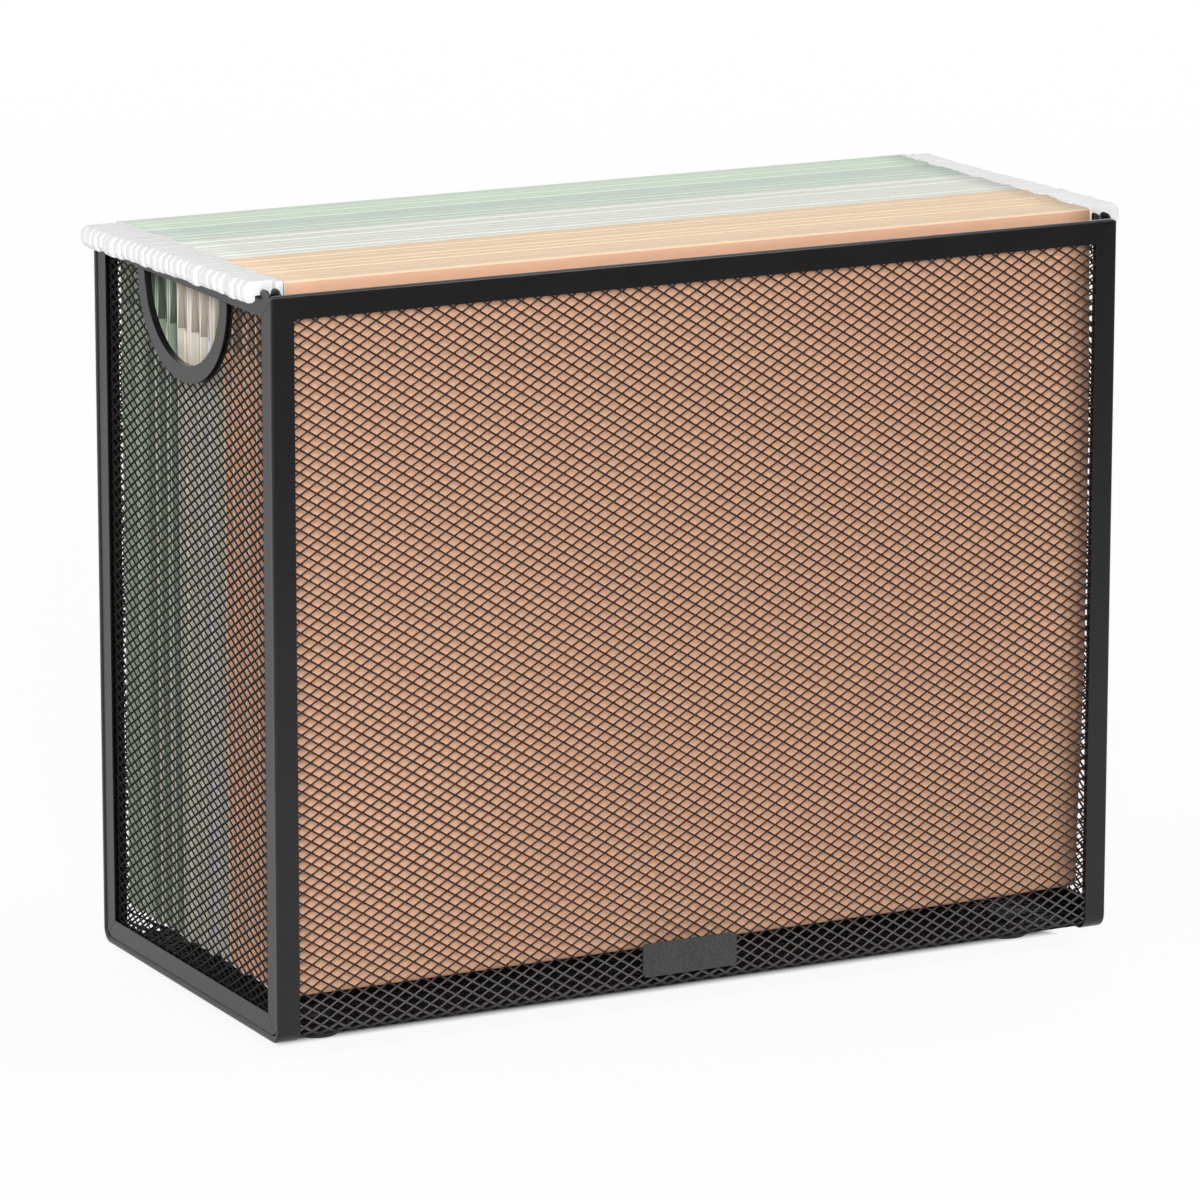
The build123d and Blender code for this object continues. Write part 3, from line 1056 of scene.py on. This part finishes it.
    def rounded(self, corners: list[tuple[float, float, float]], steps: int = 5) -> list[Vector]:
        """Points along a line whose corners are rounded.

        Args:
            corners: across, height and bend radius of each corner.
            steps: how many runs an arc has.

        Returns:
            The points, as across and height.
        """
        line = []
        for index, (across, height, radius) in enumerate(corners):
            here = Vector((across, height))
            if radius == 0:
                line.append(here)
                continue
            back = (Vector(corners[index - 1][:2]) - here).normalized()
            ahead = (Vector(corners[index + 1][:2]) - here).normalized()
            half_turn = (math.pi - back.angle(ahead)) / 2
            reach = radius * math.tan(half_turn)
            centre = here + (back + ahead).normalized() * radius / math.cos(half_turn)
            start = here + back * reach - centre
            side = -1 if start.cross(ahead) < 0 else 1
            for step in range(steps + 1):
                angle = side * 2 * half_turn * step / steps
                turned = Matrix.Rotation(angle, 2) @ start
                line.append(centre + turned)
        return line

    def warp(self, x: float, z: float, outer: float) -> float:
        """How far the card bows across, more on a face that nothing presses on."""
        height = self.height_share(z)
        belly = math.sin(math.pi * height)
        first, second, third = self.wave_turns
        share = self.wave_share
        sway = math.sin(x * first + self.number) * share + math.sin(x * second + height * 5) * (1 - share)
        return outer * belly * (sway * share + (1 - share) * math.cos(x * third))

    def height_share(self, z: float) -> float:
        """Share of the card's height at one z, 0 at its bottom."""
        return held((z - self.low[2]) / (self.high[2] - self.low[2]))

    def along_row(self, ends: tuple[float, float]) -> float:
        """Value of this folder between those of the first and the last."""
        first, last = ends
        return first + (last - first) * (self.number - 1) / (self.last - 1)

    def sag(self, x: float) -> float:
        """How far the folder hangs above or below its nominal height at one x."""
        across = held(x / self.sag_length + 0.5)
        right = self.sag_right * held((self.number - self.sag_after) / self.sag_over)
        return self.along_row(self.sag_left) * (1 - across) + right * across

    def sleeve(self) -> None:
        """Card folded over the rods at the top and round the bottom."""
        line = self.rounded(self.profile())
        mesh = bmesh.new()
        verts = [mesh.verts.new((self.low[0], self.middle + point.x, point.y)) for point in line]
        edges = [mesh.edges.new(pair) for pair in zip(verts, verts[1:])]
        stretch = (self.high[0] - self.low[0]) / self.card_runs
        for _ in range(self.card_runs):
            made = bmesh.ops.extrude_edge_only(mesh, edges=edges)["geom"]
            verts = [item for item in made if isinstance(item, bmesh.types.BMVert)]
            edges = [item for item in made if isinstance(item, bmesh.types.BMEdge)]
            bmesh.ops.translate(mesh, verts=verts, vec=(stretch, 0, 0))
        walls = [
            edge for edge in mesh.edges if abs(edge.verts[0].co.z - edge.verts[1].co.z) > self.leaf_edge
        ]
        bmesh.ops.subdivide_edges(mesh, edges=walls, cuts=self.leaf_cuts, use_grid_fill=True)
        mesh.normal_update()
        for face in mesh.faces:
            face.material_index = self.part_at(face)
        self.bow(mesh)
        bmesh.ops.recalc_face_normals(mesh, faces=mesh.faces)
        finishes = self.palette.cards[self.tone]
        # The rims of the inner faces keep the darker inner colour, painted shade
        rims = [self.palette.cut_edge, self.palette.cut_edge, finishes[Part.INNER_SHADE]]
        name, node = self.body + "_card", self.body + "_sleeve"
        piece = settle(name, mesh, finishes + rims, self.body, node, 60)
        thick = piece.modifiers.new("Card thickness", "SOLIDIFY")
        thick.thickness = self.card
        thick.offset = 0
        thick.material_offset_rim = len(finishes)

    def part_at(self, face: bmesh.types.BMFace) -> Part:
        """Which part of the card a face is.

        Args:
            face: the face, before the card is bowed.

        Returns:
            The part, whose value is the material index.
        """
        centre = face.calc_center_median()
        # Up-facing faces at the top take the lighter colour, painted light from above
        if centre.z > self.high[2] - self.lit_top_band:
            return Part.LIT_TOP if abs(face.normal.z) > self.lit_top_slope else Part.LEAF
        # Faces near the middle and on the flaps take the darker colour, painted shade
        inside = abs(centre.y - self.middle) < self.inner_shade_half or self.is_flap(centre)
        return Part.INNER_SHADE if inside and centre.z > self.low[2] + self.inner_shade_start else Part.LEAF

    def bow(self, mesh: bmesh.types.BMesh) -> None:
        """Gives the flat card its bow and waves, and its uneven top."""
        rises = {side: self.chance.uniform(-self.uneven, 0) for side in (-1, 1)}
        for vert in mesh.verts:
            x, y, z = vert.co
            side = -1 if y < self.middle else 1
            outward = abs(y - self.middle) > self.leaf_start
            loose = outward and (self.number, side) in ((1, -1), (self.last, 1))
            vert.co.y += self.warp(x, z, self.wave if loose else self.pressed_wave)
            if loose and side < 0:
                vert.co.y += self.open_leaf.back(x, self.height_share(z))
            if z > self.high[2] - self.tuck_drop:
                vert.co.z += self.sag(x)
            if z > self.high[2] - self.top_band:
                vert.co.z += rises[side]

    def is_flap(self, point: Vector) -> bool:
        """Whether a point lies on one of the flaps inside, which slope from the mouth to the leaves."""
        tuck_top = self.high[2] - self.tuck_drop
        reach = min(self.high[1] - self.middle, self.middle - self.low[1]) - self.inner_shade_half
        return abs(point.y - self.middle) < reach and tuck_top - self.tuck_length < point.z < tuck_top

    def rods(self) -> None:
        """Two flat rods whose dipped ends hook over the rails."""
        mesh = bmesh.new()
        quarter = (self.rods_high[1] - self.rods_low[1] - self.hook_thickness) / 2
        for turn in (-1, 1):
            across = self.middle + turn * quarter
            drift = self.chance.uniform(-self.slide, self.slide)
            front = across - self.hook_thickness / 2
            rear = across + self.hook_thickness / 2
            for side in (-1, 1):
                self.hook(mesh, side, (front, rear), self.reach(side) + side * drift)
                if turn < 0 and front - self.low[1] > self.root_least:
                    self.root(mesh, side, (self.low[1] + self.root_inset, front + self.root_inset))
                if turn > 0 and self.high[1] - rear > self.root_least:
                    self.root(mesh, side, (rear - self.root_inset, self.high[1] - self.root_inset))
            self.strip(mesh, across)
        # The notches stay on the rails
        for vert in mesh.verts:
            if abs(vert.co.z - self.notch_top) > 10 * WELD:
                vert.co.z += self.sag(vert.co.x)
        finishes = [self.palette.vinyl, self.palette.rod]
        settle(self.body + "_hooks", mesh, finishes, self.body, self.body + "_rods", 45)

    def reach(self, side: int) -> float:
        """How far out a dipped end goes; the rods have slid left at the back and right at the front."""
        return self.along_row(self.reach_left if side < 0 else self.reach_right)

    def hook_start(self, side: int) -> float:
        """How far from the middle a dipped end starts, just past the card."""
        return (self.high[0] if side > 0 else -self.low[0]) + self.hook_gap

    def hook(self, mesh: bmesh.types.BMesh, side: int, faces: tuple[float, float], reach: float) -> None:
        """One dipped end: a flat bar with a notch that sits on the rail.

        Args:
            mesh: where it is added.
            side: -1 on the left, 1 on the right.
            faces: y of its front and rear face.
            reach: how far out it goes.
        """
        low, high = self.rods_low[2], self.rods_high[2] + self.coat_rise
        tip = low + self.chance.uniform(*self.dip)
        start = self.hook_start(side)
        corners = [
            (start, low),
            (self.notch_inner, low),
            (self.notch_inner, self.notch_top),
            (self.notch_outer, self.notch_top),
            (self.notch_outer, tip + self.toe * 0.5),
            (self.notch_outer + self.toe_step, tip),
            (reach - self.toe * 0.6, tip),
            (reach, tip + self.toe),
            (reach, high - self.toe),
            (reach - self.toe, high),
            (start, high),
        ]
        front, rear = faces
        verts = [mesh.verts.new((side * x, front, z)) for x, z in corners]
        face = mesh.faces.new(verts)
        made = bmesh.ops.extrude_face_region(mesh, geom=[face])["geom"]
        moved = [item for item in made if isinstance(item, bmesh.types.BMVert)]
        bmesh.ops.translate(mesh, verts=moved, vec=(0, rear - front, 0))
        edges = list({edge for vert in verts + moved for edge in vert.link_edges})
        skin = list({face for vert in verts + moved for face in vert.link_faces})
        bmesh.ops.recalc_face_normals(mesh, faces=skin)
        outer = [
            edge
            for edge in edges
            if min(abs(vert.co.x) for vert in edge.verts) > self.notch_outer + self.hook_round
            or min(vert.co.z for vert in edge.verts) > high - self.hook_round
        ]
        bmesh.ops.bevel(
            mesh,
            geom=outer,
            affect="EDGES",
            offset=self.hook_round,
            segments=3,
            profile=0.5,
            material=-1,
            clamp_overlap=True,
        )

    def root(self, mesh: bmesh.types.BMesh, side: int, faces: tuple[float, float]) -> None:
        """Widens a dipped end next to the card, where the outermost fold stands open.

        Args:
            mesh: where it is added.
            side: -1 on the left, 1 on the right.
            faces: y of its front and rear face.
        """
        ends = sorted((side * self.hook_start(side), side * (self.notch_inner + self.root_reach)))
        low = Vector((ends[0], faces[0], self.rods_low[2]))
        high = Vector((ends[1], faces[1], self.rods_high[2] + self.coat_rise - self.root_step))
        add_block(mesh, low, high, rounding=self.hook_round, runs=3)

    def strip(self, mesh: bmesh.types.BMesh, across: float) -> None:
        """Flat steel of a rod between its dipped ends, inside the fold."""
        middle = (self.rods_low[2] + self.rods_high[2]) / 2
        half = (self.rods_high[2] - self.rods_low[2]) * self.strip_share / 2
        low = Vector((self.low[0], across - self.strip_thickness / 2, middle - half))
        high = Vector((self.high[0], across + self.strip_thickness / 2, middle + half))
        add_block(mesh, low, high, finish=1)

    def papers(self) -> None:
        """Front and rear leaf of a cover, with bundles of sheets between them."""
        low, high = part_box(self.body + "_papers")
        mesh = bmesh.new()
        inside = high[1] - low[1] - 2 * self.cover
        bundles = max(2, round(inside / self.bundle))
        step = inside / bundles
        for index in range(bundles + 2):
            leaf = index in (0, bundles + 1)
            front = low[1] + (0 if index == 0 else self.cover + (index - 1) * step)
            rear = front + (self.cover if leaf else step * self.bundle_share)
            top = high[2] - (0 if leaf else self.chance.uniform(*self.bundle_drop))
            inset = 0 if leaf else self.chance.uniform(*self.bundle_inset)
            base = low[2] + (self.cover_base if leaf else self.bundle_base)
            corners = Vector((low[0] + inset, front, base)), Vector((high[0] - inset, rear, top))
            add_block(mesh, *corners, rounding=self.paper_round)
        white = self.papers_held is Papers.WHITE
        finish = self.palette.sheets if white else self.palette.manila
        settle(self.body + "_contents", mesh, [finish], self.body, self.body + "_papers", 30)


@dataclass
class FolderRow:
    """The folders, from the front: how many of each colour, and which hold white papers."""

    palette: Palette
    tones: tuple[tuple[Tone, int], ...] = (
        (Tone.TAN, 5),
        (Tone.GREY, 4),
        (Tone.GREEN, 3),
        (Tone.PALE, 2),
    )
    white: tuple[int, ...] = (5, 7)
    seed: int = 7

    def build(self) -> None:
        """Makes every folder."""
        chance = random.Random(self.seed)
        row = [tone for tone, count in self.tones for _ in range(count)]
        for number, tone in enumerate(row, 1):
            papers = Papers.WHITE if number in self.white else Papers.MANILA
            if f"folder_{number:02d}_papers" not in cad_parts:
                papers = Papers.NONE
            HangingFolder(self.palette, number, len(row), tone, papers, chance).build()


@dataclass(frozen=True)
class SoftLamp:
    """One square soft lamp: its place, the length of its side and its power in watts."""

    name: str
    place: Triple
    side: float
    power: float

    def hang(self, target: Triple) -> None:
        """Puts the lamp in the scene, aimed at a point."""
        data = bpy.data.lights.new(self.name, "AREA")
        data.size = self.side
        data.energy = self.power
        lamp = bpy.data.objects.new(self.name, data)
        lamp.location = self.place
        aim = Vector(target) - Vector(self.place)
        lamp.rotation_euler = aim.to_track_quat("-Z", "Y").to_euler()
        bpy.context.scene.collection.objects.link(lamp)


@dataclass
class Studio:
    """White floor and surroundings, soft lamps and the camera."""

    # Camera: its place, its turn in degrees, and its lens and sensor in millimetres
    place: Triple = (-1.087345, -2.111068, 0.679447)
    turn: Triple = (76.8163, -0.0612, -27.1865)
    lens: float = 215.448
    sensor: float = 36
    lamps: tuple[SoftLamp, ...] = (
        SoftLamp("key_lamp", (-0.95, -2.1, 0.95), 0.5, 44),
        SoftLamp("top_lamp", (1.15, -0.6, 2.5), 0.55, 11.5),
        SoftLamp("left_lamp", (-1.9, 0.1, 0.9), 1.4, 12.5),
        SoftLamp("rear_lamp", (1.6, 1.8, 1.2), 1.4, 14),
    )
    target: Triple = (0, 0, 0.13)
    # Light of the surroundings, and of what the object mirrors on the camera's side
    ambient: float = 0.40
    dim: float = 0.22
    dim_blend: float = 1.6
    # The floor glows white from this far inside the case's sides and front, over a short and a long fade
    floor_size: float = 12
    floor_white: float = 0.88
    side_inset: float = 10 * MM
    front_inset: float = 20 * MM
    near_fade: float = 6.25 * MM
    near_share: float = 0.92
    far_fade: float = 2.0
    # The floor that the object mirrors turns dim from this y forwards
    dim_from: float = -0.25
    dim_rate: float = 1.4

    def build(self) -> None:
        """Sets up everything round the object."""
        bpy.context.scene.view_settings.view_transform = "Standard"
        self.camera()
        self.world()
        self.floor()
        for lamp in self.lamps:
            lamp.hang(self.target)

    def camera(self) -> None:
        """Places the camera at the photograph's view."""
        data = bpy.data.cameras.new("camera")
        data.lens = self.lens
        data.sensor_width = self.sensor
        data.clip_end = 50
        camera = bpy.data.objects.new("camera", data)
        camera.location = self.place
        camera.rotation_euler = [math.radians(angle) for angle in self.turn]
        bpy.context.scene.collection.objects.link(camera)
        bpy.context.scene.camera = camera

    def world(self) -> None:
        """White background, a dim room on the camera's side, and a soft light on the object."""
        world = bpy.data.worlds.new("surroundings")
        bpy.context.scene.world = world
        nodes = Nodes(world)
        sky = nodes.tree.nodes["Background"]
        sky.inputs["Color"].default_value = WHITE
        way = nodes.node("ShaderNodeTexCoord", output="Generated")
        behind = nodes.node("ShaderNodeSeparateXYZ", inputs={0: way}, output="Y")
        mirrored = (behind * self.dim_blend + 0.5).limited() * (1 - self.dim) + self.dim
        glossy = self.seen(nodes, "Is Glossy Ray")
        shiny = glossy.maths("MAXIMUM", glossy, self.seen(nodes, "Is Transmission Ray"))
        level = shiny * (mirrored - self.ambient) + self.ambient
        camera = self.seen(nodes, "Is Camera Ray")
        nodes.feed(sky.inputs["Strength"], camera * (1 - level) + level)

    def seen(self, nodes: Nodes, ray: str) -> Sock:
        """Whether the ray that looks is of one kind."""
        return nodes.node("ShaderNodeLightPath", output=ray)

    def floor(self) -> None:
        """White floor, plainly lit under the case, where its shadow lies."""
        mesh = bmesh.new()
        bmesh.ops.create_grid(mesh, x_segments=1, y_segments=1, size=self.floor_size)
        data = bpy.data.meshes.new("floor")
        mesh.to_mesh(data)
        mesh.free()
        floor = bpy.data.objects.new("floor", data)
        bpy.context.scene.collection.objects.link(floor)
        shader = Shader("white_floor")
        white = self.floor_white
        shader.dress(Base_Color=(white, white, white, 1), Roughness=0.9, Specular_IOR_Level=0.1)
        lit = Sock(shader, shader.surface.outputs[0])
        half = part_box("front_top_channel")[1][0]
        past_side = abs(shader.axis("X")) - (half - self.side_inset)
        past_front = abs(shader.axis("Y")) - (cad_box[1][1] - self.front_inset)
        away = past_side.maths("MAXIMUM", past_side, past_front)
        glossy = self.seen(shader, "Is Glossy Ray")
        glow = shader.node("ShaderNodeEmission", inputs={"Color": WHITE, "Strength": 1.0})
        near = (away / self.near_fade + 0.5).limited()
        share = near * self.near_share + (away / self.far_fade).limited() * (1 - self.near_share)
        blend = shader.node(
            "ShaderNodeMixShader",
            inputs={0: share * (self.seen(shader, "Is Camera Ray") + glossy * 0.5), 1: lit, 2: glow},
        )
        room = shader.node("ShaderNodeEmission", inputs={"Color": WHITE, "Strength": self.dim})
        front = (self.dim_from - shader.axis("Y")) * self.dim_rate
        mirrored = front.limited() * glossy
        final = shader.node("ShaderNodeMixShader", inputs={0: mirrored, 1: blend, 2: room})
        shader.feed(shader.tree.nodes["Material Output"].inputs["Surface"], final)
        data.materials.append(shader.material)


def main() -> None:
    """Builds the studio, the case and the folders."""
    logging.basicConfig(level=logging.INFO, format="%(message)s")
    Studio().build()
    palette = Palette()
    MeshCase(palette).build()
    FolderRow(palette).build()


if __name__ == "__main__":
    main()
